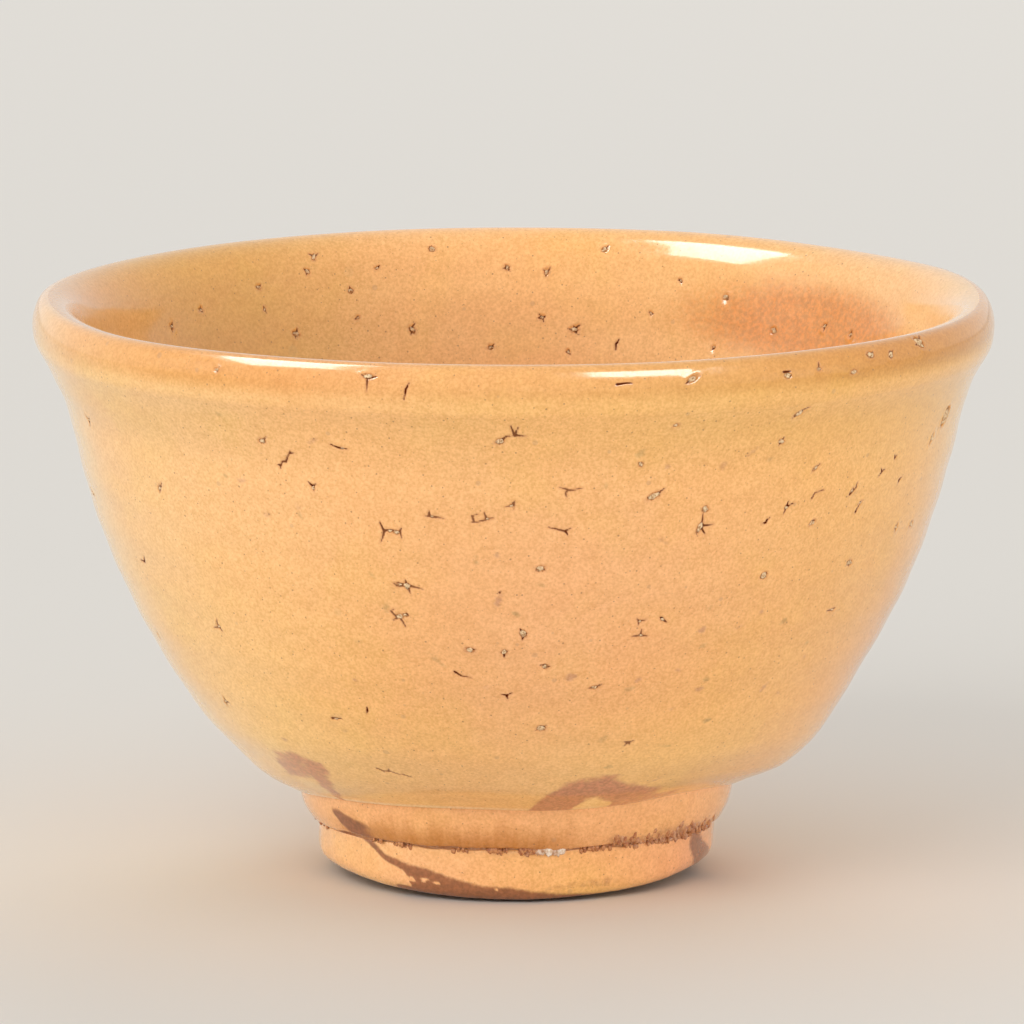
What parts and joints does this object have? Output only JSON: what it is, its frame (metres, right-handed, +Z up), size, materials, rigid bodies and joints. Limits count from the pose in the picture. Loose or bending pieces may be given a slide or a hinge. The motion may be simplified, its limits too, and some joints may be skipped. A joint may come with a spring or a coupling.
{
  "type": "matcha bowl",
  "caption": "Open stoneware tea bowl with a rounded lip, a sharp ledge over a stepped foot ring, and poured glaze with burst stones.",
  "frame": {"origin": "centre of the foot ring on the table", "axes": "+Z up along the bowl's axis, -Y towards the side shown in the picture, +X to that view's right"},
  "size_m": [0.125, 0.125, 0.0765],
  "materials": {
    "clay": "bare fired stoneware, matt",
    "glaze": "glossy feldspar glaze, warm yellow-orange",
    "inner_glaze": "glossy feldspar glaze, a little deeper orange",
    "foot_glaze": "glossy feldspar glaze, orange-brown",
    "bead_glaze": "glossy off-white glaze beads",
    "stone": "rough grey-white grit"
  },
  "bodies": {
    "root": {"cup": "clay", "foot_ring": "clay", "outer_glaze": "glaze", "inner_glaze": "inner_glaze", "collar_glaze": "foot_glaze", "foot_glaze": "foot_glaze", "crawl_beads": "bead_glaze", "outer_stones": "stone", "inner_stones": "stone"}
  },
  "joints": []
}
